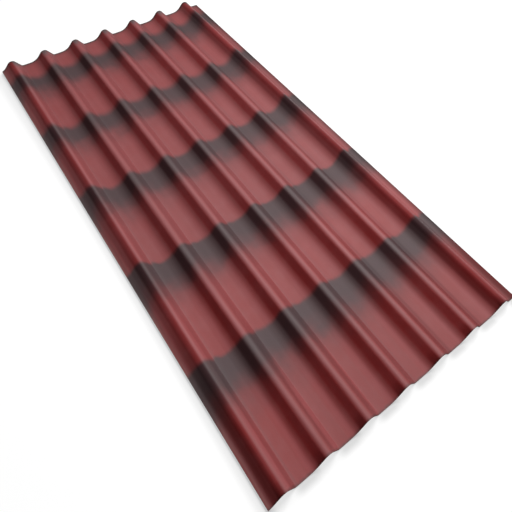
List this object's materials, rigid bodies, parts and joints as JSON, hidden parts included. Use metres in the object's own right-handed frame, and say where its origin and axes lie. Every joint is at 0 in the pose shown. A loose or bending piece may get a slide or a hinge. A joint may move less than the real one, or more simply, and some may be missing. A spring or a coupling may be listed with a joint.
{
  "type": "corrugated bitumen-fibre roofing sheet",
  "caption": "Long corrugated roof sheet with leaning pantile-shaped waves, square-cut ends and edges, matt red with charcoal tile shading.",
  "frame": {"origin": "middle of the sheet's rectangle, on the plane that the pans' undersides lie on", "axes": "+X along the waves towards the lower end on the roof, +Y across the waves towards the edge that ends in a level half pan, +Z out of the weather face"},
  "size_m": [1.95, 0.96, 0.043],
  "materials": {
    "painted_fibre": "matte"
  },
  "bodies": {
    "root": {"roofing_sheet": "painted_fibre"}
  },
  "joints": []
}
